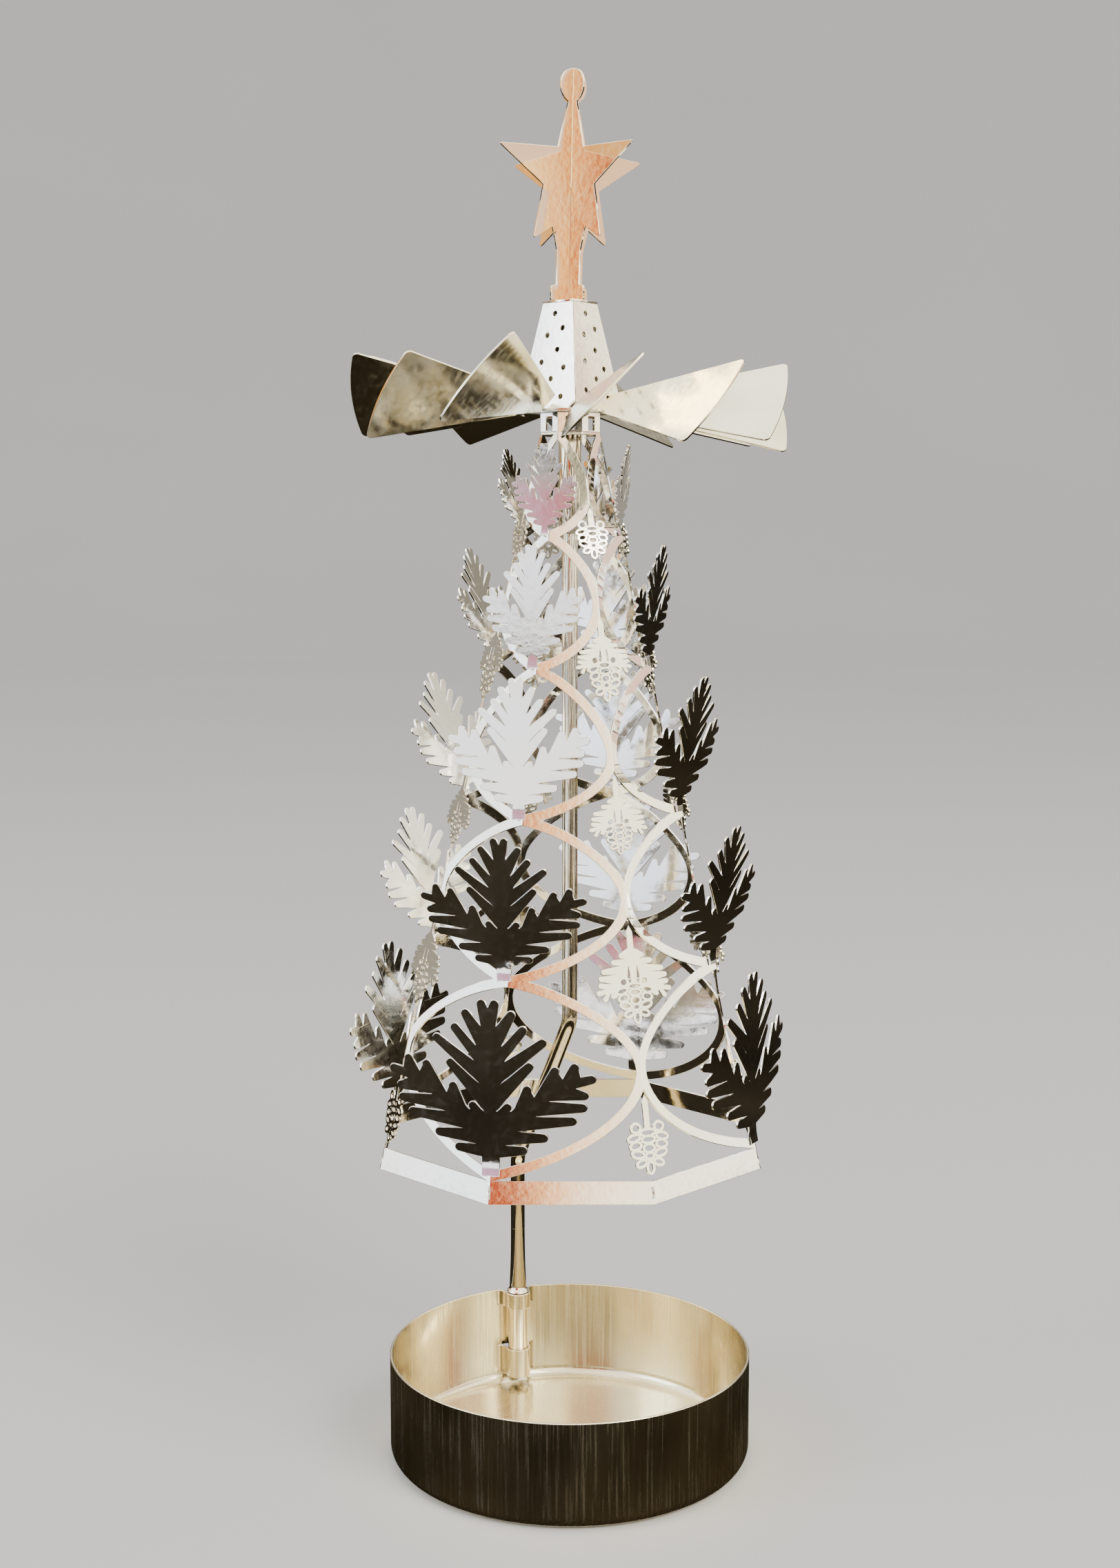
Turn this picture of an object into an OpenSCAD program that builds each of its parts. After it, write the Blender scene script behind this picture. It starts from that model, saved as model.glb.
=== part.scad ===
// Rotary candle holder. A shallow pressed cup holds a small candle, a bent wire stem plugs
// into the cup's wall, and a light sheet-metal rotor shaped like a fir tree hangs on the
// stem's needle point, where the warm air turns its fan blades.
// Origin at the middle of the cup's underside, +Z up, in millimetres.

/* [Candle cup] */
// Outer radius of the cup
cup_r = 21.5; // [21:0.5:24]
// Height of the cup's rim
cup_h = 12.5; // [12:0.5:15]
// Thickness of the cup's wall and floor
cup_wall = 0.3; // [0.2:0.05:0.4]
// Radius of the rounded edge under the cup
cup_edge_r = 1.6; // [1:0.1:2]
// Direction of the stem's socket, seen from above
socket_azimuth = 109.4; // [0:0.1:360]

/* [Stem] */
// Distance from the cup's axis to the upright part of the stem
stem_offset = 19.8; // [19.7:0.05:19.85]
// Radius of the wire
rod_r = 0.9; // [0.7:0.05:1]
// Radius of the plug that stands in the socket
plug_r = 1.25; // [1.1:0.05:1.28]
// Height at which the wire starts to lean inwards
lean_from_z = 30.5; // [28:0.5:34]
// Height at which the wire reaches the axis
lean_to_z = 52.5; // [48:0.5:58]
// Radius of the sleeve near the top of the wire
sleeve_r = 1.3; // [1.1:0.05:1.5]
// Height at which the sleeve starts
sleeve_z = 109.5; // [100:0.5:114]

/* [Tree] */
// Thickness of the rotor's bright sheet
sheet = 0.25; // [0.2:0.05:0.3]
// Radius to the creases at the tree's lower edge
tree_r = 23.6; // [22:0.1:24]
// Height of the tree's lower edge
tree_z = 37.45; // [36:0.5:40]
// How much the crease radius falls for each millimetre of height
tree_fall = 0.239; // [0.235:0.001:0.24]
// Height of the band round the tree's lower edge
band_h = 2.45; // [2:0.05:3]
// Width of the lattice's straps
strap_w = 1.15; // [0.9:0.05:1.3]
// Direction of the first branch crease
branch_azimuth = 247.6; // [0:0.1:360]

/* [Fan] */
// Number of blades
blade_count = 12; // [12]
// Radius of the arc on which the blades' outer edges lie
blade_reach = 24.9; // [22:0.1:25.4]
// Width of a blade at its outer edge
blade_tip_w = 12.2; // [10:0.1:12.4]
// Width of a blade at its root
blade_root_w = 2.6; // [2:0.1:2.8]
// Pitch of the blades
blade_pitch = 45.5; // [35:0.5:50]
// Direction of the first blade
blade_azimuth = 275.2; // [0:0.1:360]

/* [Cap and star] */
// Radius to the corners at the cap's foot
cap_foot_r = 6.05; // [5.8:0.05:6.1]
// Radius to the corners at the cap's top
cap_top_r = 3.12; // [2.9:0.02:3.4]
// Direction of the cap's first corner
cap_azimuth = 275.8; // [0:0.1:360]
// Direction of the star's first sheet
star_azimuth = 219.7; // [0:0.1:360]
// Height of the very top
top_z = 161; // [160:0.1:162]

/* [Hidden] */
$fn = 48;

// Heights of the crossings on the branch creases, and of the joins on the pine cone creases
node_zs = [40.4, 60.9, 78.2, 94.6, 109.3, 120.6];
join_zs = [51.6, 69.7, 85.1, 102.0, 113.7];
panel_top_z = 120.9;
face_half = 22.5;
// Share of an oval's rise that runs straight instead of round
oval_straight = 0.3;
// How far the straps reach over their crease at each tier's joins
join_overlap = [0.5, 0.5, 0.45, 0.45, 0.2];
relief_w = 0.3;
relief_h = 1.2;

// Each tier's sprigs: height, width as a share of it, and how far the four of them are bent
// out from the creases
sprig_len = [20, 16.5, 15.9, 13.9, 10.3];
sprig_wide = [1.05, 1.03, 0.92, 0.75, 0.67];
sprig_bend = [[17, 13, 18, 18], [22, 25, 22, 28], [18, 26, 20, 33], [16, 22, 24, 30], [16, 20, 16, 27]];
// How far each sprig is turned, and each tier's are shifted along the tangent at their creases
sprig_turn = [[9, -6, 8, -4], [9, -8, 0, -9], [9, -7, 0, -9], [9, 0, 0, -6], [9, 9, 0, -6]];
sprig_shift = [0, -0.5, -0.5, -0.5, -0.5];
// Right half of a sprig from its foot up, as shares of its height: needle tips, and notches
sprig_tips = [[0.194, 0.155], [0.302, 0.229], [0.45, 0.329], [0.504, 0.403], [0.512, 0.469], [0.55, 0.566],
              [0.446, 0.651], [0.349, 0.628], [0.202, 0.519], [0.108, 0.41], [0.225, 0.643], [0.298, 0.775],
              [0.194, 0.845], [0.132, 0.93], [0.039, 0.992]];
sprig_notches = [[0.048, 0.105], [0.078, 0.178], [0.151, 0.26], [0.24, 0.349], [0.31, 0.438],
                 [0.45, 0.512], [0.473, 0.577], [0.38, 0.566], [0.233, 0.461], [0.128, 0.391],
                 [0.034, 0.365], [0.054, 0.519], [0.085, 0.651], [0.07, 0.736], [0.043, 0.849], [0, 0.95]];

// Each tier's pine cone: size, width as a share of it, length of its stalk, and how far under
// the join it starts
cone_size = [1, 0.91, 0.71, 0.92, 0.77];
cone_wide = [1, 1, 1, 0.88, 1.04];
cone_stalk = [2.4, 5, 3.9, 3.75, 0.9];
cone_drop = [3.6, 3.8, 3.2, 2.7, 2.25];
cone_stalk_w = 0.72;
// Openings of a cone's right half: middle across and down, half width, half height, turn
cone_holes = [[1.36, -0.15, 0.35, 0.33, 0], [0, -0.71, 0.68, 0.2, 0], [1.66, -1.2, 0.52, 0.2, -14],
              [0, -1.45, 0.6, 0.23, 0], [1.54, -2.04, 0.46, 0.27, -14], [0, -2.39, 0.46, 0.3, 0],
              [1.34, -2.97, 0.52, 0.22, 14], [0, -3.23, 0.3, 0.2, 0], [1.02, -3.96, 0.4, 0.18, -20],
              [0, -4.46, 0.21, 0.48, 0]];
cone_rim = 0.36;
// Fir needles that fan out over a cone, from the crotch down: size on each tier, tips, notches
fan_size = [0, 1, 0.78, 0.75, 0];
fan_tips = [[1.5, -2.4], [2.48, -2.95], [3.75, -3.9], [4.1, -4.6], [4.2, -5.3], [4.5, -6.2], [3.7, -7.1],
            [2.8, -6.8]];
fan_notches = [[0.42, -1.5], [0.8, -2.6], [1.4, -3.3], [1.95, -4.2], [2.5, -5.2], [3.5, -5.75], [3.5, -6.3],
               [2.9, -6.3], [2.2, -6.8]];
fan_gap = [0.9, -4.9];
fan_slit = [[0.38, -4.8], [0.5, -3.4], [0.72, -4.7]];

hub_z = 123.1;
hub_r = 6.2;
pivot_r = 1.5;
pivot_gap = 0.05;
pivot_flange_r = 2.6;
pivot_z = 122.6;
pivot_h = 2.4;
needle_tip_r = 0.12;
needle_tip_z = 124.2;
sleeve_top_z = 121;
blade_z = 123.9;
blade_root = 6.15;
blade_corner_r = 0.6;
// The blades are bent by hand: how far each one is turned about the axis, and bent upwards
blade_wander = [3.5, 5.7, 2.2, 2.5, 2.8, 3.2, 5.6, -1.5, -6.4, 0, 0.6, 2.6];
blade_lift = [-1.7, 0, -2.4, 1, 2, 2, 3, 6, 4, 1, 5.5, -1];
cap_foot_z = hub_z + sheet;
cap_top_z = 135.3;
cap_hole_r = 0.3;
star_foot_z = cap_top_z + sheet;
star_lap_z = 148;
knob_r = 1.9;

// The wire is a little thicker where it is bent
elbow_swell = 0.1;
strap_crown = 1.3 + cup_wall;
upper_strap = [10.5, cup_h];
lower_strap = [1.4, 5.1];
shoulder_r = 1.4;
flare_top_z = 21;

tree_tilt = atan(tree_fall * cos(face_half));
crease_tilt = atan(tree_fall);

collar_r = tree_r - tree_fall * (panel_top_z - tree_z);

function crease_r(z) = tree_r - tree_fall * (z - tree_z);
function half_w(z) = crease_r(z) * sin(face_half);
function slope(z) = (z - tree_z) / cos(tree_tilt);
function reversed(v) = [for (i = [len(v) - 1:-1:0]) v[i]];
function mirrored(v) = [for (p = reversed(v)) [-p.x, p.y]];
function arc(centre, r, from, to, steps) =
    [for (i = [0:steps]) let (a = from + (to - from) * i / steps) centre + r * [cos(a), sin(a)]];

// ---- Candle cup

module cup_outline(grow) {
    r = cup_r - grow;
    edge = cup_edge_r - grow;
    translate([0, cup_edge_r]) square([r, cup_h]);
    translate([0, grow]) square([r - edge, cup_h]);
    translate([r - edge, cup_edge_r]) circle(edge);
}

// Plan of a strap pressed inwards from the wall; inset is taken off all round
module strap_plan(inset) {
    crown = arc([stem_offset, 0], strap_crown - inset, 110, 250, 10);
    wall = cup_r - 0.15 + inset * 4;
    polygon(concat([[wall, 2.6 - inset]], crown, [[wall, inset - 2.6]]));
}

module straps(inset) {
    for (s = [upper_strap, lower_strap])
        rotate([0, 0, socket_azimuth]) translate([0, 0, s[0]]) linear_extrude(s[1] - s[0]) strap_plan(inset);
}

module candle_cup() {
    color("darkkhaki")
    difference() {
        union() {
            rotate_extrude() intersection() {
                difference() {
                    cup_outline(0);
                    cup_outline(cup_wall);
                }
                square([cup_r, cup_h]);
            }
            straps(0);
        }
        straps(cup_wall);
    }
}

// ---- Stem

module stem_place() { rotate([0, 0, socket_azimuth]) translate([stem_offset, 0, 0]) children(); }

module stem_plug() {
    color("silver") stem_place() {
        translate([0, 0, 1]) cylinder(r1 = plug_r - 0.4, r2 = plug_r, h = 0.6);
        translate([0, 0, 1.6]) cylinder(r = plug_r, h = cup_h - 1.6);
        translate([0, 0, cup_h]) cylinder(r = shoulder_r, h = 0.4);
        translate([0, 0, cup_h + 0.4])
            cylinder(r1 = shoulder_r - 0.2, r2 = rod_r, h = flare_top_z - cup_h - 0.4);
    }
}

// The wire's centre line runs up at stem_offset, leans in to the axis and runs up it
module stem_rod() {
    lean = atan(stem_offset / (lean_to_z - lean_from_z));
    color("silver") {
        stem_place() {
            translate([0, 0, flare_top_z]) cylinder(r = rod_r, h = lean_from_z - flare_top_z);
            translate([0, 0, lean_from_z]) sphere(rod_r + elbow_swell);
            translate([0, 0, lean_from_z]) rotate([0, -lean, 0])
                cylinder(r = rod_r, h = (lean_to_z - lean_from_z) / cos(lean));
        }
        translate([0, 0, lean_to_z]) sphere(rod_r + elbow_swell);
        translate([0, 0, lean_to_z]) cylinder(r = rod_r, h = sleeve_top_z - lean_to_z);
    }
}

module stem_sleeve() {
    color("gainsboro") difference() {
        translate([0, 0, sleeve_z]) cylinder(r = sleeve_r, h = sleeve_top_z - sleeve_z);
        translate([0, 0, sleeve_z - 1]) cylinder(r = rod_r, h = sleeve_top_z - sleeve_z + 2);
    }
}

module needle() {
    color("lightsteelblue") {
        translate([0, 0, sleeve_top_z])
            cylinder(r1 = rod_r, r2 = needle_tip_r, h = needle_tip_z - needle_tip_r - sleeve_top_z);
        translate([0, 0, needle_tip_z - needle_tip_r]) sphere(needle_tip_r);
    }
}

// ---- Pivot

module pivot_cup() {
    color("goldenrod") difference() {
        union() {
            translate([0, 0, pivot_z]) cylinder(r = pivot_r, h = pivot_h);
            translate([0, 0, hub_z - pivot_gap - sheet]) cylinder(r = pivot_flange_r, h = sheet);
        }
        translate([0, 0, pivot_z - 1]) cylinder(r = pivot_r - 0.4, h = 2);
        translate([0, 0, pivot_z + 1])
            cylinder(r1 = pivot_r - 0.4, r2 = 0.25, h = needle_tip_z - pivot_z - 0.9);
    }
}

// ---- Flat sheets that lean together: local x runs round the axis and y up the slope

module lean_sheet(azimuth, foot_r, foot_z, tilt) {
    rotate([0, 0, azimuth]) translate([foot_r, 0, foot_z]) rotate([0, -tilt, 0])
        rotate([90, 0, 90]) translate([0, 0, -sheet]) linear_extrude(sheet) children();
}

module sector(azimuth, half_angle, from_z, to_z) {
    far = 40;
    rotate([0, 0, azimuth]) translate([0, 0, from_z]) linear_extrude(to_z - from_z)
        polygon([[0, 0], [far, -far * tan(half_angle)], [far, far * tan(half_angle)]]);
}

// ---- Tree

// One side of an oval: a = -90 at its lower crossing, 0 at its join, 90 at its upper crossing
function oval_point(i, a, inset) =
    let (
        rise = a < 0 ? join_zs[i] - node_zs[i] : node_zs[i + 1] - join_zs[i],
        share = (1 - oval_straight) * abs(sin(a)) + oval_straight * (1 - cos(a)),
        z = join_zs[i] + sign(a) * (rise + strap_w / 2 - inset) * share
    )
    [cos(a) * (2 * half_w(z) + join_overlap[i] - inset) - half_w(z), slope(z)];

module oval_strap(i) {
    outer = [for (a = [-90:10:90]) oval_point(i, a, 0)];
    inner = [for (a = [-90:10:90]) oval_point(i, a, strap_w)];
    polygon(concat(outer, reversed(inner)));
}

module cross_band(from_z, to_z) {
    polygon([[-half_w(from_z) - 1, slope(from_z)], [half_w(from_z) + 1, slope(from_z)],
             [half_w(to_z) + 1, slope(to_z)], [-half_w(to_z) - 1, slope(to_z)]]);
}

module lattice() {
    difference() {
        union() {
            cross_band(tree_z, tree_z + band_h);
            cross_band(node_zs[5], panel_top_z);
            for (i = [0:4]) oval_strap(i);
        }
        for (side = [-1, 1])
            translate([side * half_w(tree_z + band_h / 2) - relief_w / 2, (band_h - relief_h) / 2])
                square([relief_w, relief_h]);
    }
}

module tree_panel(k) {
    azimuth = branch_azimuth + (k - 0.5) * 2 * face_half;
    color("lightgoldenrodyellow") intersection() {
        lean_sheet(azimuth, tree_r * cos(face_half), tree_z, tree_tilt) mirror([1 - k % 2, 0]) lattice();
        sector(azimuth, face_half, tree_z, panel_top_z);
    }
}

// Right half of a needled outline, walked from notch to notch round each needle's tip
function needled(tips, notches, r) = [
    for (k = [0:len(tips) - 1])
        let (
            root = (notches[k] + notches[k + 1]) / 2,
            along = (tips[k] - root) / norm(tips[k] - root),
            across = [along.y, -along.x],
            sign_y = sign(notches[len(tips)].y)
        )
        each [
            notches[k],
            tips[k] - along * r + across * r * sign_y,
            tips[k],
            tips[k] - along * r - across * r * sign_y
        ],
    notches[len(tips)]
];

module sprig(i) {
    side = [for (p = needled(sprig_tips, sprig_notches, 0.026)) [p.x * sprig_wide[i], p.y] * sprig_len[i]];
    foot = [[0.048, 0], [0.048, 0.05]] * sprig_len[i];
    polygon(concat(foot, side, mirrored([for (k = [0:len(side) - 2]) side[k]]), mirrored(foot)));
}

module sprig_ring(i) {
    z = node_zs[i];
    color("lightgray") for (k = [0:3])
        rotate([0, 0, branch_azimuth + 90 * k]) translate([crease_r(z) - sheet / 2, 0, z])
            rotate([0, 0, sprig_turn[i][k]]) translate([0, sprig_shift[i], 0])
                rotate([0, sprig_bend[i][k] - crease_tilt, 0]) rotate([90, 0, 90])
                    linear_extrude(sheet) sprig(i);
}

// The openings of a cone, each grown by margin all round
module cone_ovals(margin) {
    for (h = cone_holes)
        for (side = h[0] > 0 ? [-1, 1] : [1])
            translate([side * h[0], h[1]]) rotate(side * h[4])
                polygon([for (a = [0:30:330]) [(h[2] + margin) * cos(a), (h[3] + margin) * sin(a)]]);
}

// A hanging cone with its stalk from the crotch of the straps, at y = 0
module pine_cone(i) {
    half = cone_stalk_w / 2;
    size = [cone_wide[i], 1] * cone_size[i];
    fan = [for (p = concat(needled(fan_tips, fan_notches, 0.3), [fan_gap])) p * fan_size[i]];
    difference() {
        union() {
            translate([0, -cone_stalk[i]]) scale(size) cone_ovals(cone_rim);
            translate([-half, -cone_stalk[i] - 0.5]) square([cone_stalk_w, cone_stalk[i] + 1]);
            if (fan_size[i] > 0) polygon(concat(fan, mirrored(fan)));
        }
        translate([0, -cone_stalk[i]]) scale(size) cone_ovals(0);
        if (fan_size[i] > 0)
            for (side = [-1, 1]) polygon([for (p = fan_slit) [side * p.x, p.y] * fan_size[i]]);
    }
}

module pine_cone_ring(i) {
    z = join_zs[i] - cone_drop[i];
    color("palegoldenrod") for (k = [0:3])
        rotate([0, 0, branch_azimuth + 2 * face_half + 90 * k]) translate([crease_r(z) - sheet / 2, 0, z])
            rotate([0, -crease_tilt, 0]) rotate([90, 0, 90]) linear_extrude(sheet) pine_cone(i);
}

module tree_collar() {
    slot_w = 1;
    slot_h = 1.55;
    color("tan") difference() {
        rotate([0, 0, branch_azimuth]) translate([0, 0, panel_top_z]) linear_extrude(hub_z - panel_top_z)
            difference() {
                circle(collar_r, $fn = 8);
                circle(collar_r - sheet, $fn = 8);
            }
        for (k = [0:7])
            rotate([0, 0, branch_azimuth + (k + 0.5) * 45])
                translate([collar_r - 1, -slot_w / 2, panel_top_z + 0.15]) cube([2, slot_w, slot_h]);
    }
}

// ---- Fan

module fan_hub() {
    color("khaki") difference() {
        translate([0, 0, hub_z]) cylinder(r = hub_r, h = sheet);
        translate([0, 0, hub_z - 1]) cylinder(r = pivot_r + pivot_gap, h = sheet + 2);
    }
}

module fan_blade(k) {
    corner_y = blade_tip_w / 2 - blade_corner_r;
    turn = asin(corner_y / (blade_reach - blade_corner_r));
    corner = [corner_y / tan(turn), corner_y];
    side_slope = atan((blade_tip_w - blade_root_w) / 2 / (blade_reach - blade_root));
    side = [blade_root, blade_root_w / 2];
    outer = arc([0, 0], blade_reach, turn - 3, 0, 3);
    upper = concat([side], arc(corner, blade_corner_r, 90 + side_slope, turn, 4), outer);
    lower = [for (p = reversed(upper)) if (p.y > 0.01) [p.x, -p.y]];
    azimuth = blade_azimuth + k * 360 / blade_count + blade_wander[k - 1];
    color("lemonchiffon") rotate([0, 0, azimuth]) translate([blade_root, 0, blade_z])
        rotate([0, -blade_lift[k - 1], 0]) rotate([blade_pitch, 0, 0])
            linear_extrude(sheet, center = true) translate([-blade_root, 0]) polygon(concat(upper, lower));
}

// ---- Cap and star

// Holes of a cap panel, across from a corner and down from the top, as shares of the panel
cap_holes = [[0.45, 0.105], [0.7, 0.245], [0.32, 0.305], [0.6, 0.445], [0.28, 0.555], [0.76, 0.615],
             [0.52, 0.715], [0.25, 0.825], [0.73, 0.885]];

module cap_panel(k) {
    azimuth = cap_azimuth + (k - 0.5) * 90;
    rise = cap_top_z - cap_foot_z;
    tilt = atan((cap_foot_r - cap_top_r) * cos(45) / rise);
    foot_w = cap_foot_r * sin(45);
    top_w = cap_top_r * sin(45);
    length = rise / cos(tilt);
    color("ivory") intersection() {
        lean_sheet(azimuth, cap_foot_r * cos(45), cap_foot_z, tilt) difference() {
            polygon([[-foot_w - 1, 0], [foot_w + 1, 0], [top_w + 1, length], [-top_w - 1, length]]);
            for (h = cap_holes)
                translate([(2 * h[0] - 1) * (top_w + (foot_w - top_w) * h[1]), length * (1 - h[1])])
                    circle(cap_hole_r);
        }
        sector(azimuth, 45, cap_foot_z, cap_top_z);
    }
}

module cap_top() {
    color("ivory") rotate([0, 0, cap_azimuth]) translate([0, 0, cap_top_z])
        linear_extrude(sheet) circle(cap_top_r, $fn = 4);
}

// One half of the star's outline, from its foot up to the neck under the knob
star_side = [[2.65, star_foot_z], [2.65, 137.1], [1.85, 137.3], [1.9, 141], [2.62, 143.6], [5.1, 142.0],
             [5.5, 142.4], [4.06, 148.0], [10.3, 151.6], [10.2, 152.1], [2.07, 152.3], [1.24, 157.3]];

module star_outline() {
    polygon(concat(star_side, mirrored(star_side)));
    translate([0, top_z - knob_r]) circle(knob_r);
}

// The two sheets are slotted half way, one from above and one from below
module star_sheet(azimuth, slot_from, slot_to) {
    color("rosybrown") rotate([0, 0, azimuth]) rotate([90, 0, 0]) linear_extrude(sheet, center = true)
        difference() {
            star_outline();
            translate([-sheet / 2 - 0.01, slot_from]) square([sheet + 0.02, slot_to - slot_from]);
        }
}

module star_sheet_1() { star_sheet(star_azimuth, star_lap_z, top_z + 1); }

module star_sheet_2() { star_sheet(star_azimuth + 90, star_foot_z - 1, star_lap_z); }

candle_cup();
stem_plug();
stem_rod();
stem_sleeve();
needle();
pivot_cup();
for (i = [1:8]) tree_panel(i);
for (i = [1:5]) sprig_ring(i - 1);
for (i = [1:5]) pine_cone_ring(i - 1);
tree_collar();
fan_hub();
for (i = [1:12]) fan_blade(i);
for (i = [1:4]) cap_panel(i);
cap_top();
star_sheet_1();
star_sheet_2();
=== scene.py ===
"""Looks of the rotary candle holder: bright sheet metal, cut, folded and bent by hand.

Lengths are millimetres until a mesh is made, and metres in the studio. x runs to the right, y runs
away from the viewer and z runs up.
"""

import bpy
import math
import random
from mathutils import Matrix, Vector, geometry


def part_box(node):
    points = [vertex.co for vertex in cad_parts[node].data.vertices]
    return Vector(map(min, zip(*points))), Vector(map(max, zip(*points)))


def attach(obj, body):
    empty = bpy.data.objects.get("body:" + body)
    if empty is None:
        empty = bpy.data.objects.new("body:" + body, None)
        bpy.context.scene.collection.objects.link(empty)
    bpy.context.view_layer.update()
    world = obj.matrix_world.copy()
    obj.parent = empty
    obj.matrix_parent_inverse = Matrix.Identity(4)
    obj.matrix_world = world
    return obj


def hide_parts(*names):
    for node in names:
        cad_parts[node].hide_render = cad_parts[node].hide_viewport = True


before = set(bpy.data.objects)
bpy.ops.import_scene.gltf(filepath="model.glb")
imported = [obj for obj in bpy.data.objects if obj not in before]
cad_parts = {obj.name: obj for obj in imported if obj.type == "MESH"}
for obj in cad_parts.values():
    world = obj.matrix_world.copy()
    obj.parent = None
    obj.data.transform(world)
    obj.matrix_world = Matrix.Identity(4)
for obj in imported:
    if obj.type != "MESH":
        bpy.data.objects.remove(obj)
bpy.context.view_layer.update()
MM = 0.001
MESH_SEED = 7


def node_box(node):
    """Lower and upper corner of a node's box in millimetres."""
    low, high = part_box(node)
    return low / MM, high / MM


# ---- Driving dimensions, read from the frame where a node shows them

CUP_HIGH = node_box("candle_cup")[1]
CUP_R = CUP_HIGH.x
CUP_H = CUP_HIGH.z
CUP_WALL = 0.3
CUP_EDGE_R = 1.6
SOCKET_AZIMUTH = 109.4
# Lower and upper edge of each strap of the stem's socket
UPPER_STRAP = (10.5, CUP_H)
LOWER_STRAP = (1.4, 5.1)

STEM_OFFSET = 19.8
ROD_R = 0.9
PLUG_R = 1.25
SHOULDER_R = 1.4
FLARE_TOP_Z = 21.0
LEAN_FROM_Z = 30.5
LEAN_TO_Z = 52.5
BEND_R = 3.0
SLEEVE_LOW, SLEEVE_HIGH = node_box("stem_sleeve")
NEEDLE_LOW, NEEDLE_HIGH = node_box("needle")

SHEET = 0.25
TREE_R = 23.6
TREE_Z = 37.45
TREE_FALL = 0.239
TREE_TOP_Z = 120.9
BAND_H = 2.45
STRAP_W = 1.15
BRANCH_AZIMUTH = 247.6
FACE_HALF = math.radians(22.5)
# Heights where the straps leave the branch creases, and where they join at the creases between
NODE_ZS = (40.4, 60.9, 78.2, 94.6, 109.3, 120.6)
JOIN_ZS = (51.6, 69.7, 85.1, 102.0, 113.7)
# How much of a strap's curve is straight, and how far each tier's straps reach past the joining crease
OVAL_STRAIGHT = 0.3
JOIN_OVERLAP = (0.5, 0.5, 0.45, 0.45, 0.2)
FOLD_R = 0.35
# Half width and half height of the slots in the band at the creases
BAND_SLOT = (0.15, 0.6)

HUB_Z = node_box("fan_hub")[0].z
HUB_R = 6.2
PIVOT_R = 1.5
BLADE_Z = 123.9
BLADE_ROOT = 6.15
BLADE_REACH = 24.9
BLADE_TIP_W = 12.2
BLADE_ROOT_W = 2.6
BLADE_PITCH = math.radians(45.5)
BLADE_AZIMUTH = 275.2
BLADE_COUNT = 12
BLADE_CORNER_R = 0.6
# Degrees by which each hand-bent blade stands off its even place, and is bent up from its root
BLADE_WANDER = (3.5, 5.7, 2.2, 2.5, 2.8, 3.2, 5.6, -1.5, -6.4, 0, 0.6, 2.6)
BLADE_LIFT = (-1.7, 0, -2.4, 1, 2, 2, 3, 6, 4, 1, 5.5, -1)
# Largest bow of a blade across its width, per square millimetre
BLADE_BOW = 0.003

CAP_FOOT_R = 6.05
CAP_TOP_R = 3.12
CAP_AZIMUTH = 275.8
CAP_FOOT_Z = HUB_Z + SHEET
CAP_TOP_Z = 135.3
STAR_FOOT_Z = CAP_TOP_Z + SHEET
STAR_AZIMUTH = 219.7
TOP_Z = 161.0

# Lean of the faces and of the creases towards the axis, and half the width of a rounded crease
TREE_TILT = math.atan(TREE_FALL * math.cos(FACE_HALF))
CREASE_TILT = math.atan(TREE_FALL)
FOLD_HALF = FOLD_R * math.tan(FACE_HALF)

# Softened rim of the cut sheets, and the angle from which other pieces show a hard edge
SOFT_EDGE = 0.045
HARD_ANGLE = math.radians(35)


# ---- Small geometry helpers

def around(azimuth):
    """Unit vector that points out along an azimuth in degrees."""
    a = math.radians(azimuth)
    return Vector((math.cos(a), math.sin(a), 0))


UP = Vector((0, 0, 1))


def crease_r(z):
    """Distance of the tree's creases from the axis at height z."""
    return TREE_R - TREE_FALL * (z - TREE_Z)


def half_w(z):
    """Half the width of one of the tree's faces at height z."""
    return crease_r(z) * math.sin(FACE_HALF)


def slope(z):
    """How far up a face's slope height z is."""
    return (z - TREE_Z) / math.cos(TREE_TILT)


def mirrored(points):
    """The left half that goes with the right half of an outline, walked the other way."""
    return [(-x, y) for x, y in reversed(points)]


def rectangle(x0, y0, x1, y1):
    """Corners of a rectangle, walked counter-clockwise."""
    return [(x0, y0), (x1, y0), (x1, y1), (x0, y1)]


def bend(start, corner, end, steps):
    """Points of a round bend from start to end, inside the corner."""
    shares = [i / steps for i in range(steps + 1)]
    return [start * (1 - t) ** 2 + corner * 2 * t * (1 - t) + end * t * t for t in shares]


def arc(cx, cy, rx, start, end, steps, ry=None):
    """Points of an arc from start to end in degrees, of an ellipse if ry is given."""
    ry = rx if ry is None else ry
    angles = [math.radians(start + (end - start) * i / steps) for i in range(steps + 1)]
    return [(cx + rx * math.cos(a), cy + ry * math.sin(a)) for a in angles]


def ellipse(cx, cy, rx, ry, turn=0.0, steps=16):
    c, s = math.cos(math.radians(turn)), math.sin(math.radians(turn))
    ring = arc(0, 0, rx, 0, 360, steps, ry)[:-1]
    return [(cx + x * c - y * s, cy + x * s + y * c) for x, y in ring]


def smooth_step(t):
    """Goes softly from 0 to 1 while t does."""
    t = min(max(t, 0.0), 1.0)
    return t * t * (3 - 2 * t)


# ---- Mesh makers

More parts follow.
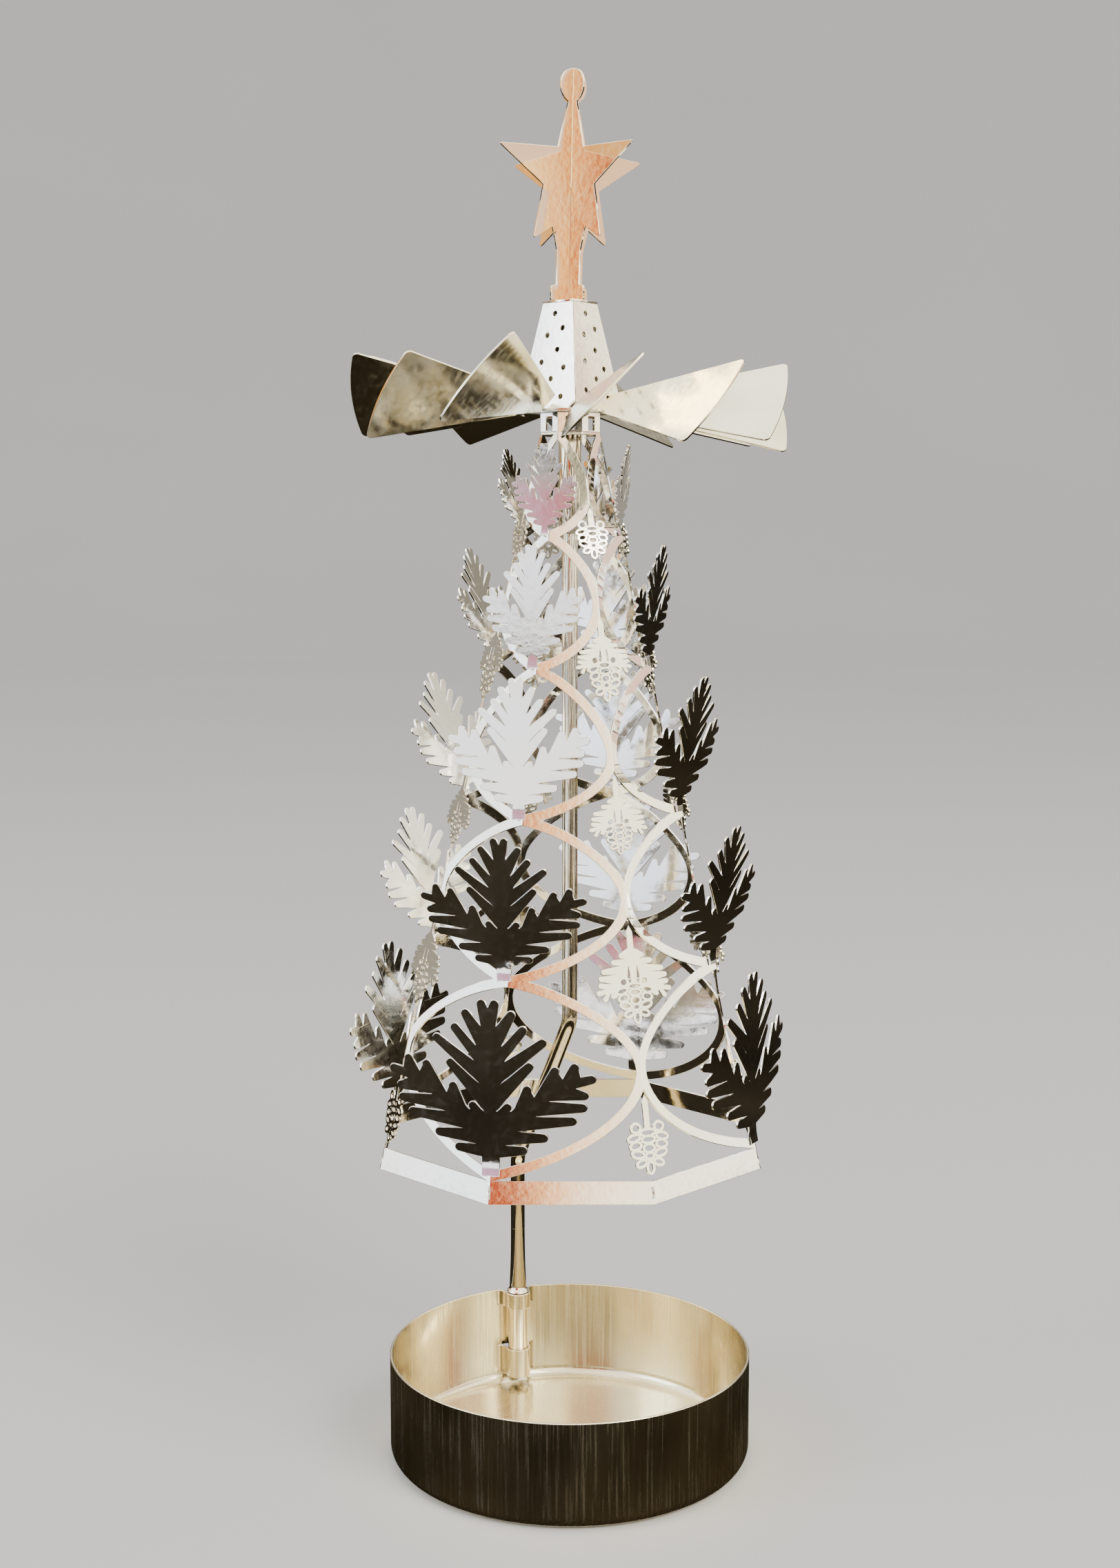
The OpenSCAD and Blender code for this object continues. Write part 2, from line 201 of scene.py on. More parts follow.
def mesh_piece(name, shape, material, node=None, body="rotor"):
    """A piece of the model from (points, faces) or (points, faces, vertex normals)."""
    points, faces = shape[:2]
    mesh = bpy.data.meshes.new(name)
    mesh.from_pydata([Vector(p) * MM for p in points], [], faces)
    mesh.update()
    mesh.shade_smooth()
    if len(shape) == 3:
        mesh.normals_split_custom_set_from_vertices(shape[2])
    else:
        mesh.set_sharp_from_angle(angle=HARD_ANGLE)
    piece = bpy.data.objects.new(name, mesh)
    bpy.context.scene.collection.objects.link(piece)
    mesh.materials.append(material)
    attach(piece, body)
    if node:
        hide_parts(*([node] if isinstance(node, str) else node))
    return piece


def cut_sheet(solids, holes, place, thick=SHEET, edge=SOFT_EDGE, lines=(), metric=None):
    """Points, faces and normals of a flat blank: solids less holes, thick, with softened edges.

    place(x, y, h) puts a point of the blank, h above its back, where it belongs. lines are
    polylines that the mesh must follow, so that the sheet can fold or bend there. metric(x, y) says
    how long a unit of x comes out there.
    """
    nearest, sharpest, probe = 1e-5, 0.3, 0.05
    flat, loops, rails = [], [], []
    for loop in list(solids) + list(holes):
        loops.append(list(range(len(flat), len(flat) + len(loop))))
        flat += [Vector(p) for p in loop]
    for line in lines:
        first = len(flat)
        flat += [Vector(p) for p in line]
        rails += [(first + i, first + i + 1) for i in range(len(line) - 1)]
    co, _, tris, _, _, origin = geometry.delaunay_2d_cdt(flat, rails, loops, 1, nearest)
    count = len(solids)
    tris = [list(t) for t, src in zip(tris, origin)
            if any(i < count for i in src) and not any(i >= count for i in src)]
    uses = {}
    for t in tris:
        for a, b in zip(t, t[1:] + t[:1]):
            uses[(a, b)] = uses.get((a, b), 0) + 1
    rim = [(a, b) for a, b in uses if (b, a) not in uses]
    inward = {}
    for a, b in rim:
        scale = metric(*co[a]) if metric else 1.0
        d = Vector(((co[b].x - co[a].x) * scale, co[b].y - co[a].y))
        if d.length == 0:
            continue
        n = Vector((-d.y, d.x)).normalized()
        for v in (a, b):
            inward.setdefault(v, []).append(n)
    points, normals, top, back, rim_top, rim_back = [], [], {}, {}, {}, {}

    def add(x, y, h, towards):
        points.append(place(x, y, h))
        normals.append((place(*towards) - points[-1]).normalized())
        return len(points) - 1

    for v in sorted({v for t in tris for v in t}):
        x, y = co[v]
        if v in inward:
            total = sum(inward[v], Vector((0, 0)))
            length = max(total.length_squared, sharpest)
            shift = total * (len(inward[v]) * edge / length)
            scale = metric(x, y) if metric else 1.0
            ahead = (x - shift.x / scale, y - shift.y)
            rim_top[v] = add(x, y, thick - edge, (*ahead, thick - edge))
            rim_back[v] = add(x, y, edge, (*ahead, edge))
            x, y = x + shift.x / scale, y + shift.y
        top[v] = add(x, y, thick, (x, y, thick + probe))
        back[v] = add(x, y, 0, (x, y, -probe))
    faces = [[top[v] for v in t] for t in tris]
    faces += [[back[v] for v in reversed(t)] for t in tris]
    for a, b in rim:
        faces.append([back[a], back[b], rim_back[b], rim_back[a]])
        faces.append([rim_back[a], rim_back[b], rim_top[b], rim_top[a]])
        faces.append([rim_top[a], rim_top[b], top[b], top[a]])
    return points, faces, normals


def join_parts(parts):
    """Several sheets as one shape."""
    points, faces, normals = [], [], []
    for p, f, n in parts:
        faces += [[i + len(points) for i in face] for face in f]
        points += p
        normals += n
    return points, faces, normals


def lathe(profile, steps=96, centre=(0, 0), closed=False):
    """Turns a profile of (r, z) points about an upright axis; r = 0 ends close on the axis."""
    points, faces, rings = [], [], []
    for r, z in profile:
        if r == 0:
            rings.append([len(points)])
            points.append(Vector((centre[0], centre[1], z)))
            continue
        rings.append(list(range(len(points), len(points) + steps)))
        for i in range(steps):
            a = 2 * math.pi * i / steps
            points.append(Vector((centre[0] + r * math.cos(a), centre[1] + r * math.sin(a), z)))
    pairs = list(zip(rings, rings[1:]))
    if closed:
        pairs.append((rings[-1], rings[0]))
    for low, high in pairs:
        for i in range(steps):
            j = (i + 1) % steps
            quad = [low[i % len(low)], low[j % len(low)], high[j % len(high)], high[i % len(high)]]
            faces.append([v for k, v in enumerate(quad) if v not in quad[:k]])
    return points, faces


def tube(path, radius, steps=24):
    """A round wire along a path of points, closed at both ends."""
    points, faces, rings = [], [], []
    side = Vector((1, 0, 0))
    for i, p in enumerate(path):
        ahead = (path[min(i + 1, len(path) - 1)] - path[max(i - 1, 0)]).normalized()
        side = (side - ahead * side.dot(ahead)).normalized()
        other = ahead.cross(side)
        rings.append(list(range(len(points), len(points) + steps)))
        for k in range(steps):
            a = 2 * math.pi * k / steps
            points.append(p + (side * math.cos(a) + other * math.sin(a)) * radius)
    for low, high in zip(rings, rings[1:]):
        for k in range(steps):
            j = (k + 1) % steps
            faces.append([low[k], low[j], high[j], high[k]])
    faces.append(list(reversed(rings[0])))
    faces.append(rings[-1])
    return points, faces


# ---- Materials

def node_tree(name):
    """A new material with its node tree and its one shader."""
    material = bpy.data.materials.new(name)
    material.use_nodes = True
    tree = material.node_tree
    tree.nodes.clear()
    out = tree.nodes.new("ShaderNodeOutputMaterial")
    shader = tree.nodes.new("ShaderNodeBsdfPrincipled")
    tree.links.new(shader.outputs["BSDF"], out.inputs["Surface"])
    return material, tree, shader


def add_node(tree, kind, **settings):
    """A node whose settings are sockets where it has one of that name, and else its properties."""
    node = tree.nodes.new(kind)
    for key, value in settings.items():
        if key in node.inputs:
            node.inputs[key].default_value = value
        else:
            setattr(node, key, value)
    return node


def object_coords(tree):
    return add_node(tree, "ShaderNodeTexCoord").outputs["Object"]


def noise(tree, coords, scale, detail=3.0, stretch=(1, 1, 1), roughness=0.5):
    mapping = add_node(tree, "ShaderNodeMapping")
    mapping.inputs["Scale"].default_value = stretch
    tree.links.new(coords, mapping.inputs["Vector"])
    made = add_node(tree, "ShaderNodeTexNoise", Scale=scale, Detail=detail, Roughness=roughness)
    tree.links.new(mapping.outputs["Vector"], made.inputs["Vector"])
    return made.outputs["Fac"]


def ramp(tree, value, stops):
    """Colour ramp of (position, colour or grey) stops."""
    made = add_node(tree, "ShaderNodeValToRGB")
    elements = made.color_ramp.elements
    while len(elements) < len(stops):
        elements.new(0.5)
    for element, (at, colour) in zip(elements, stops):
        element.position = at
        element.color = (*colour, 1) if isinstance(colour, tuple) else (colour,) * 3 + (1,)
    tree.links.new(value, made.inputs["Fac"])
    return made.outputs["Color"]


def mix_colour(tree, factor, a, b, blend="MIX"):
    """Mixes colours, each of which may be a socket or a fixed value."""
    made = add_node(tree, "ShaderNodeMix", data_type="RGBA", blend_type=blend)
    factor_at, a_at, b_at, colour_out = 0, 6, 7, 2
    for socket, value in ((factor_at, factor), (a_at, a), (b_at, b)):
        if isinstance(value, bpy.types.NodeSocket):
            tree.links.new(value, made.inputs[socket])
        elif isinstance(value, tuple):
            made.inputs[socket].default_value = (*value, 1)
        else:
            made.inputs[socket].default_value = value
    return made.outputs[colour_out]


def bump(tree, heights):
    """Chains (height, strength, distance in metres) into one normal."""
    normal = None
    for height, strength, distance in heights:
        made = add_node(tree, "ShaderNodeBump", Strength=strength, Distance=distance)
        tree.links.new(height, made.inputs["Height"])
        if normal:
            tree.links.new(normal, made.inputs["Normal"])
        normal = made.outputs["Normal"]
    return normal


def bright_metal(name, pale, warm, rough, grain=(1, 1, 1), wave=0.2, dirt=0.1, scratch=0.5):
    """Bright plated sheet: uneven tint, fine grain, hand smudges and hairline scratches."""
    material, tree, shader = node_tree(name)
    shader.inputs["Metallic"].default_value = 1.0
    coords = object_coords(tree)
    tint = ramp(tree, noise(tree, coords, 70, 2.0), [(0.36, pale), (0.66, warm)])
    smudge = noise(tree, coords, 150, 3.0)
    grime = tuple(c * 0.6 for c in warm)
    dulled = mix_colour(tree, ramp(tree, smudge, [(0.5, 0.0), (0.85, dirt)]), tint, grime)
    hair = noise(tree, coords, 1500, 3.0, grain)
    lines = ramp(tree, hair, [(0.60, 0.0), (0.66, scratch)])
    scratched = mix_colour(tree, lines, dulled, tuple(0.5 + 0.5 * c for c in pale))
    tree.links.new(scratched, shader.inputs["Base Color"])
    smear = ramp(tree, smudge, [(0.3, rough * 0.75), (0.75, rough * 1.5)])
    total = mix_colour(tree, 1.0, smear, ramp(tree, hair, [(0.45, 0.0), (0.66, rough)]), "ADD")
    tree.links.new(total, shader.inputs["Roughness"])
    waves = noise(tree, coords, 60, 1.0)
    wave_depth, hair_depth = 0.0009, 0.00002
    normal = bump(tree, [(waves, wave, wave_depth), (hair, 0.2, hair_depth)])
    tree.links.new(normal, shader.inputs["Normal"])
    return material


LATTICE = bright_metal("lattice sheet", (0.97, 0.96, 0.92), (0.97, 0.92, 0.80), 0.045,
                       wave=0.08, dirt=0.06, scratch=0.3)
SPRIG = bright_metal("sprig sheet", (0.96, 0.96, 0.95), (0.94, 0.90, 0.80), 0.06,
                     wave=0.08, dirt=0.12, scratch=0.3)
CONE = bright_metal("pine cone sheet", (0.96, 0.94, 0.88), (0.95, 0.89, 0.74), 0.07,
                    wave=0.1, dirt=0.1, scratch=0.3)
BLADE = bright_metal("blade sheet", (0.90, 0.86, 0.70), (0.80, 0.72, 0.48), 0.10,
                     grain=(1, 1, 0.12), wave=0.1, dirt=0.45, scratch=0.3)
CAP = bright_metal("cap sheet", (0.97, 0.95, 0.89), (0.96, 0.91, 0.78), 0.08,
                   wave=0.08, dirt=0.06, scratch=0.3)
STAR = bright_metal("star sheet", (0.96, 0.87, 0.66), (0.95, 0.79, 0.50), 0.06,
                    wave=0.08, dirt=0.04, scratch=0.1)
CUP = bright_metal("cup sheet", (0.83, 0.77, 0.60), (0.77, 0.69, 0.48), 0.15,
                   grain=(2.6, 2.6, 0.05), wave=0.1, dirt=0.25, scratch=0.12)
WIRE = bright_metal("stem wire", (0.90, 0.86, 0.77), (0.86, 0.77, 0.58), 0.10,
                    grain=(1, 1, 0.03), wave=0.05, dirt=0.1, scratch=0.3)
BRASS = bright_metal("pivot brass", (0.82, 0.64, 0.32), (0.70, 0.50, 0.20), 0.22)
STEEL = bright_metal("needle steel", (0.80, 0.81, 0.83), (0.70, 0.70, 0.72), 0.18, grain=(1, 1, 0.05))


# ---- Candle cup

# Radius of the straps where they go round the plug, and how far round they hug it, in radians
STRAP_R = 1.6
STRAP_HUG = 1.35


def cup_profile():
    """Closed section of the cup's wall and floor, from the axis under the floor and round."""
    inner_edge = CUP_EDGE_R - CUP_WALL
    lip = 0.08
    floor_rings = (8, 14, 17, 19)
    outside = [(0, 0)] + [(r, 0) for r in floor_rings]
    outside += arc(CUP_R - CUP_EDGE_R, CUP_EDGE_R, CUP_EDGE_R, 270, 360, 8)
    outside += [(CUP_R, CUP_H - lip), (CUP_R - lip, CUP_H)]
    inside = [(CUP_R - CUP_WALL + lip, CUP_H), (CUP_R - CUP_WALL, CUP_H - lip)]
    inside += arc(CUP_R - CUP_EDGE_R, CUP_EDGE_R, inner_edge, 360, 270, 8)
    inside += [(r, CUP_WALL) for r in reversed(floor_rings)] + [(0, CUP_WALL)]
    return outside + inside


def strap_path(inset):
    """Plan of a strap, bulged in from the wall: (distance from the axis, sideways) points."""
    r = STRAP_R - inset
    start = Vector((STEM_OFFSET - r * math.cos(STRAP_HUG), r * math.sin(STRAP_HUG)))
    turn = Vector((CUP_R - 0.35, 1.66 - inset))
    end = Vector((CUP_R - 0.32 + inset, 2.62 - inset * 0.3))
    half = [tuple(p) for p in bend(end, turn, start, 8)]
    half += [(STEM_OFFSET - r * math.cos(a), r * math.sin(a)) for a in (1.1, 0.8, 0.5, 0.2)]
    return [(r, -s) for r, s in half] + [(r, s) for r, s in reversed(half)]


def strap(low_z, high_z):
    """A strap of the socket, from its lower to its upper edge."""
    outer = strap_path(0)
    inner = strap_path(CUP_WALL)
    out, side = around(SOCKET_AZIMUTH), around(SOCKET_AZIMUTH + 90)
    soft = 0.07
    levels = [(low_z, soft), (low_z + soft, 0), (high_z - soft, 0), (high_z, soft)]
    points, faces = [], []
    for z, shrink in levels:
        for t in (shrink / CUP_WALL, 1 - shrink / CUP_WALL):
            for (r, s), (r2, s2) in zip(outer, inner):
                points.append(out * (r + (r2 - r) * t) + side * (s + (s2 - s) * t) + UP * z)
    n = len(outer)
    for k in range(len(levels) - 1):
        a, b = k * 2 * n, (k + 1) * 2 * n
        for i in range(n - 1):
            faces.append([a + i, a + i + 1, b + i + 1, b + i])
            faces.append([a + n + i + 1, a + n + i, b + n + i, b + n + i + 1])
        for i, flip in ((0, False), (n - 1, True)):
            quad = [a + n + i, a + i, b + i, b + n + i]
            faces.append(quad[::-1] if flip else quad)
    last = (len(levels) - 1) * 2 * n
    for i in range(n - 1):
        faces.append([i + 1, i, n + i, n + i + 1])
        faces.append([last + i, last + i + 1, last + n + i + 1, last + n + i])
    return points, faces


def box_mesh(low, high, azimuth):
    """A plain cutter box; x runs out along the azimuth."""
    out, side = around(azimuth), around(azimuth + 90)
    points = [out * x + side * y + UP * z for z in (low[2], high[2])
              for x, y in rectangle(low[0], low[1], high[0], high[1])]
    faces = [[3, 2, 1, 0], [4, 5, 6, 7], [0, 1, 5, 4], [1, 2, 6, 5], [2, 3, 7, 6], [3, 0, 4, 7]]
    return points, faces


def cut_out(piece, cutters):
    """Cuts the boxes out of a piece and applies the cuts."""
    for points, faces in cutters:
        mesh = bpy.data.meshes.new("cutter")
        mesh.from_pydata([p * MM for p in points], [], faces)
        cutter = bpy.data.objects.new("cutter", mesh)
        bpy.context.scene.collection.objects.link(cutter)
        cut = piece.modifiers.new("cut", "BOOLEAN")
        cut.object = cutter
        cut.solver = "EXACT"
        cut.operation = "DIFFERENCE"
    bpy.context.view_layer.update()
    made = bpy.data.meshes.new_from_object(
        piece.evaluated_get(bpy.context.evaluated_depsgraph_get()))
    for modifier in list(piece.modifiers):
        bpy.data.objects.remove(modifier.object)
        piece.modifiers.remove(modifier)
    piece.data = made


def make_cup():
    cup = mesh_piece("candle_cup_shell", lathe(cup_profile(), 256), CUP, "candle_cup", "base")
    depth, half, past, gap = 1.6, 2.45, 1, 0.02
    windows = [box_mesh((CUP_R - depth, -half, low), (CUP_R + past, half, high), SOCKET_AZIMUTH)
               for low, high in (LOWER_STRAP, (UPPER_STRAP[0], CUP_H + past))]
    cut_out(cup, windows)
    for name, (low, high) in (("lower", LOWER_STRAP), ("upper", UPPER_STRAP)):
        shape = strap(low + gap, high - gap)
        mesh_piece(f"socket_strap_{name}", shape, CUP, "candle_cup", "base")


# ---- Stem

def wire_path():
    """Centre line of the wire, with a round bend at each corner."""
    out = around(SOCKET_AZIMUTH)
    low, high = out * STEM_OFFSET + UP * LEAN_FROM_Z, UP * LEAN_TO_Z
    lean = math.atan2(STEM_OFFSET, LEAN_TO_Z - LEAN_FROM_Z)
    trim = BEND_R * math.tan(lean / 2)
    slant = (high - low).normalized()
    path = [out * STEM_OFFSET + UP * FLARE_TOP_Z]
    for corner, before, after in ((low, UP, slant), (high, slant, UP)):
        start, end = corner - before * trim, corner + after * trim
        path += bend(start, corner, end, 8)
    return path + [UP * SLEEVE_HIGH.z]


def make_stem():
    foot = around(SOCKET_AZIMUTH) * STEM_OFFSET
    plug = [(0, 1.0), (PLUG_R - 0.5, 1.0), (PLUG_R - 0.15, 1.2), (PLUG_R, 1.6), (PLUG_R, CUP_H)]
    plug += [(SHOULDER_R - 0.08, CUP_H), (SHOULDER_R, CUP_H + 0.08), (SHOULDER_R - 0.02, CUP_H + 0.22)]
    plug += [(SHOULDER_R - 0.1, CUP_H + 0.34), (SHOULDER_R - 0.24, CUP_H + 0.42)]
    flare_w, flare_z = SHOULDER_R - 0.3 - ROD_R, CUP_H + 0.5
    plug += [(ROD_R + flare_w * (1 - t) ** 2.2, flare_z + (FLARE_TOP_Z - flare_z) * t)
             for t in (0, 0.06, 0.14, 0.25, 0.4, 0.6, 0.8, 1)]
    plug += [(0, FLARE_TOP_Z)]
    mesh_piece("stem_plug_turned", lathe(plug, 48, (foot.x, foot.y)), WIRE, "stem_plug", "stem")
    mesh_piece("stem_wire_bent", tube(wire_path(), ROD_R), WIRE, "stem_rod", "stem")
    low, high, r = SLEEVE_LOW.z, SLEEVE_HIGH.z, SLEEVE_HIGH.x
    sleeve = [(ROD_R, low + 0.1), (r - 0.2, low), (r - 0.06, low + 0.05), (r, low + 0.2), (r, high - 0.2),
              (r - 0.06, high - 0.05), (r - 0.2, high), (ROD_R, high)]
    shape = lathe(sleeve, 48, closed=True)
    mesh_piece("stem_sleeve_crimped", shape, WIRE, "stem_sleeve", "stem")
    tip, foot_z = NEEDLE_HIGH.z, NEEDLE_LOW.z
    point = [(0, foot_z), (ROD_R - 0.05, foot_z), (ROD_R - 0.02, foot_z + 0.1), (0.6, foot_z + 1.2),
             (0.3, foot_z + 2.3), (0.14, tip - 0.22), (0.08, tip - 0.06), (0, tip)]
    mesh_piece("needle_point", lathe(point, 32), STEEL, "needle", "stem")


def make_pivot():
    low, high = node_box("pivot_cup")
    z, top, flange = low.z, high.z, high.x
    under = HUB_Z - 0.05 - SHEET
    bore, soft = PIVOT_R - 0.4, 0.08
    over = under + SHEET
    profile = [(bore, z), (PIVOT_R - soft, z), (PIVOT_R, under), (flange - soft, under),
               (flange, under + soft), (flange, over - soft), (flange - soft, over), (PIVOT_R, over),
               (PIVOT_R, top - 0.35), (PIVOT_R - 0.12, top - 0.1), (PIVOT_R - 0.4, top), (0, top)]
    inside = [(0, NEEDLE_HIGH.z + 0.12), (0.3, NEEDLE_HIGH.z), (bore, z + 1)]
    shape = lathe(profile + inside, 64, closed=True)
    mesh_piece("pivot_cup_pressed", shape, BRASS, "pivot_cup", "pivot")


# ---- Tree: the lattice is one blank, folded at its creases

# Width of a face on the unfolded blank, its first face and the one past its last
NET = 10.0
FIRST_FACE = -3
LAST_FACE = 5


def net_point(k, x, y):
    """Face k's point, x across and y up the slope, in the plane of the unfolded blank."""
    z = TREE_Z + y * math.cos(TREE_TILT)
    return (NET * (k + 0.5 + x / (2 * half_w(z))), y)


def net_metric(x, y):
    """How long a unit across the blank is on the tree."""
    return 2 * half_w(TREE_Z + y * math.cos(TREE_TILT)) / NET


def fold_place(x, y, h):
    """Folds a point of the unfolded blank round the tree."""
    z = TREE_Z + y * math.cos(TREE_TILT)
    crease = round(x / NET)
    t = (x / NET - crease) * 2 * half_w(z)
    azimuth = BRANCH_AZIMUTH + 45 * crease
    lift = h - SHEET
    if abs(t) <= FOLD_HALF:
        out = around(azimuth + math.degrees(FACE_HALF) * t / FOLD_HALF)
        at = around(azimuth) * (crease_r(z) - FOLD_R / math.cos(FACE_HALF)) + out * FOLD_R
    else:
        side = 1 if t > 0 else -1
        middle = azimuth + side * math.degrees(FACE_HALF)
        out = around(middle)
        at = around(azimuth) * crease_r(z) + around(middle + 90) * t
    return at + out * (lift * math.cos(TREE_TILT)) + UP * (z + lift * math.sin(TREE_TILT))


def oval_point(i, a, inset):
    """A point of tier i's strap in its face; a goes from -90 degrees below the join to 90 above it."""
    below = a < 0
    rise = JOIN_ZS[i] - NODE_ZS[i] if below else NODE_ZS[i + 1] - JOIN_ZS[i]
    s, c = abs(math.sin(a)), math.cos(a)
    share = (1 - OVAL_STRAIGHT) * s + OVAL_STRAIGHT * (1 - c)
    z = JOIN_ZS[i] + (-1 if below else 1) * (rise + STRAP_W / 2 - inset) * share
    return (c * (2 * half_w(z) + JOIN_OVERLAP[i] - inset) - half_w(z), slope(z))


def oval_strap(i):
    angles = [math.radians(-90 + 5 * k) for k in range(37)]
    outer = [oval_point(i, a, 0) for a in angles]
    inner = [oval_point(i, a, STRAP_W) for a in angles]
    return outer + inner[::-1]


def make_lattice():
    solids, holes = [], []
    ends = (NET * FIRST_FACE, NET * LAST_FACE)
    for k in range(FIRST_FACE, LAST_FACE):
        side = 1 if k % 2 == 0 else -1
        for i in range(5):
            solids.append([net_point(k, side * x, y) for x, y in oval_strap(i)][::side])
    levels = [TREE_Z + (TREE_TOP_Z - TREE_Z) * i / 24 for i in range(25)]
    for low, high in ((TREE_Z, TREE_Z + BAND_H), (NODE_ZS[5], TREE_TOP_Z)):
        solids.append(rectangle(ends[0], slope(low), ends[1], slope(high)))
    lines = []
    middle, reach = TREE_Z + BAND_H / 2, BAND_SLOT[0] / (2 * half_w(TREE_Z))
    low, high = slope(middle - BAND_SLOT[1]), slope(middle + BAND_SLOT[1])
    for crease in range(FIRST_FACE, LAST_FACE + 1):
        for offset in (-FOLD_HALF, -FOLD_HALF / 2, 0, FOLD_HALF / 2, FOLD_HALF):
            if FIRST_FACE <= crease + offset / 5 <= LAST_FACE:
                lines.append([(NET * (crease + offset / (2 * half_w(z))), slope(z)) for z in levels])
        if FIRST_FACE < crease < LAST_FACE:
            holes.append(rectangle(NET * (crease - reach), low, NET * (crease + reach), high))
    for loop in solids:
        for i, (x, y) in enumerate(loop):
            loop[i] = (min(max(x, ends[0]), ends[1]), y)
    shape = cut_sheet(solids, holes, fold_place, lines=lines, metric=net_metric)
    panels = [f"tree_panel_{k}" for k in range(1, 9)]
    mesh_piece("tree_lattice", shape, LATTICE, panels, "rotor")


# ---- Fir sprigs

# Right half of a sprig, as shares of its height: the needles' tips and the notches between them
SPRIG_TIPS = ((0.194, 0.155), (0.302, 0.229), (0.45, 0.329), (0.504, 0.403), (0.512, 0.469), (0.55, 0.566),
              (0.446, 0.651), (0.349, 0.628), (0.202, 0.519), (0.108, 0.41), (0.225, 0.643), (0.298, 0.775),
              (0.194, 0.845), (0.132, 0.93), (0.039, 0.992))
SPRIG_NOTCHES = ((0.048, 0.105), (0.078, 0.178), (0.151, 0.26), (0.24, 0.349), (0.31, 0.438),
                 (0.45, 0.512), (0.473, 0.577), (0.38, 0.566), (0.233, 0.461), (0.128, 0.391),
                 (0.034, 0.365), (0.054, 0.519), (0.085, 0.651), (0.07, 0.736), (0.043, 0.849), (0.0, 0.95))
# Each tier's sprigs: height, and width as a share of the outline's own
SPRIG_LEN = (20.0, 16.5, 15.9, 13.9, 10.3)
SPRIG_WIDE = (1.05, 1.03, 0.92, 0.75, 0.67)
# Degrees by which each tier's sprigs are bent out from their crease and turned sideways: front, right,
# back and left
SPRIG_BEND = ((17, 13, 18, 18), (22, 25, 22, 28), (18, 26, 20, 33), (16, 22, 24, 30), (16, 20, 16, 27))
SPRIG_TURN = ((9, -6, 8, -4), (9, -8, 0, -9), (9, -7, 0, -9), (9, 0, 0, -6), (9, 9, 0, -6))
# How far each tier's sprigs stand sideways of their crease
SPRIG_SHIFT = (0, -0.5, -0.5, -0.5, -0.5)
# Reach of the mesh's rows to each side as a share of a sprig's height, range of the curl along it in
# radians, and its cup across
SPRIG_REACH = 0.62
SPRIG_CURL = (0.02, 0.12)
SPRIG_CUP = 0.008


def needle_end(root, tip, r, steps):
    """Round end of a needle that grows from root to tip, walked counter-clockwise."""
    d = (Vector(tip) - Vector(root)).normalized()
    turn = math.degrees(math.atan2(d.y, d.x))
    centre = Vector(tip) - d * r
    return arc(centre.x, centre.y, r, turn - 90, turn + 90, steps)


def needle_row(tips, notches, fit, r, steps, order=1):
    """Edge of a row of needles: a notch, a needle's round end, the next notch and so on.

    order -1 walks each round end the other way.
    """
    edge = [fit(notches[0])]
    for before, tip, after in zip(notches, tips, notches[1:]):
        root = ((before[0] + after[0]) / 2, (before[1] + after[1]) / 2)
        edge += needle_end(fit(root), fit(tip), r, steps)[::order] + [fit(after)]
    return edge


def sprig_outline(i):
    size, wide = SPRIG_LEN[i], SPRIG_WIDE[i]
    fit = lambda p: (p[0] * size * wide, p[1] * size)
    foot = (SPRIG_NOTCHES[0][0] * size, 0)
    half = [foot] + needle_row(SPRIG_TIPS, SPRIG_NOTCHES, fit, 0.026 * size, 6)
    return half + mirrored(half[:-1])


def sprig_place(i, k, tilt, curl, cup):
    """Bends a sprig out from its crease: tilt from upright, curl along it, cup across it."""
    azimuth, z0, size = BRANCH_AZIMUTH + 90 * k, NODE_ZS[i], SPRIG_LEN[i]
    out, side = around(azimuth + SPRIG_TURN[i][k]), around(azimuth + SPRIG_TURN[i][k] + 90)
    foot = around(azimuth) * (crease_r(z0) - SHEET / 2) + side * SPRIG_SHIFT[i] + UP * z0
    steps = 40
    spine = [(0.0, 0.0)]
    lean = lambda t: -CREASE_TILT + (tilt + CREASE_TILT) * smooth_step(t * 9) + curl * (t - 0.5)
    for j in range(steps):
        a = lean((j + 0.5) / steps)
        r, z = spine[-1]
        spine.append((r + math.sin(a) * size / steps, z + math.cos(a) * size / steps))

    def place(x, y, h):
        t = min(max(y / size, 0), 1) * steps
        j = min(int(t), steps - 1)
        f = t - j
        r = spine[j][0] + (spine[j + 1][0] - spine[j][0]) * f
        z = spine[j][1] + (spine[j + 1][1] - spine[j][1]) * f
        a = lean(y / size)
        rise = h - SHEET / 2 - cup * x * x
        return foot + out * (r + rise * math.cos(a)) + side * x + UP * (z - rise * math.sin(a))

    return place


def make_sprigs():
    dice = random.Random(MESH_SEED)
    for i in range(5):
        parts = []
        outline = sprig_outline(i)
        size = SPRIG_LEN[i]
        reach = size * SPRIG_REACH
        rows = [[(-reach, size * t / 16), (reach, size * t / 16)] for t in range(1, 16)]
        columns = [[(size * s, -0.1), (size * s, size)] for s in (-0.3, -0.15, 0, 0.15, 0.3)]
        for k in range(4):
            tilt = math.radians(SPRIG_BEND[i][k]) - CREASE_TILT
            place = sprig_place(i, k, tilt, dice.uniform(*SPRIG_CURL), SPRIG_CUP)
            parts.append(cut_sheet([outline], [], place, lines=rows + columns))
        name = f"sprig_ring_{i + 1}"
        mesh_piece(f"fir_{name}", join_parts(parts), SPRIG, name, "rotor")


# ---- Pine cones

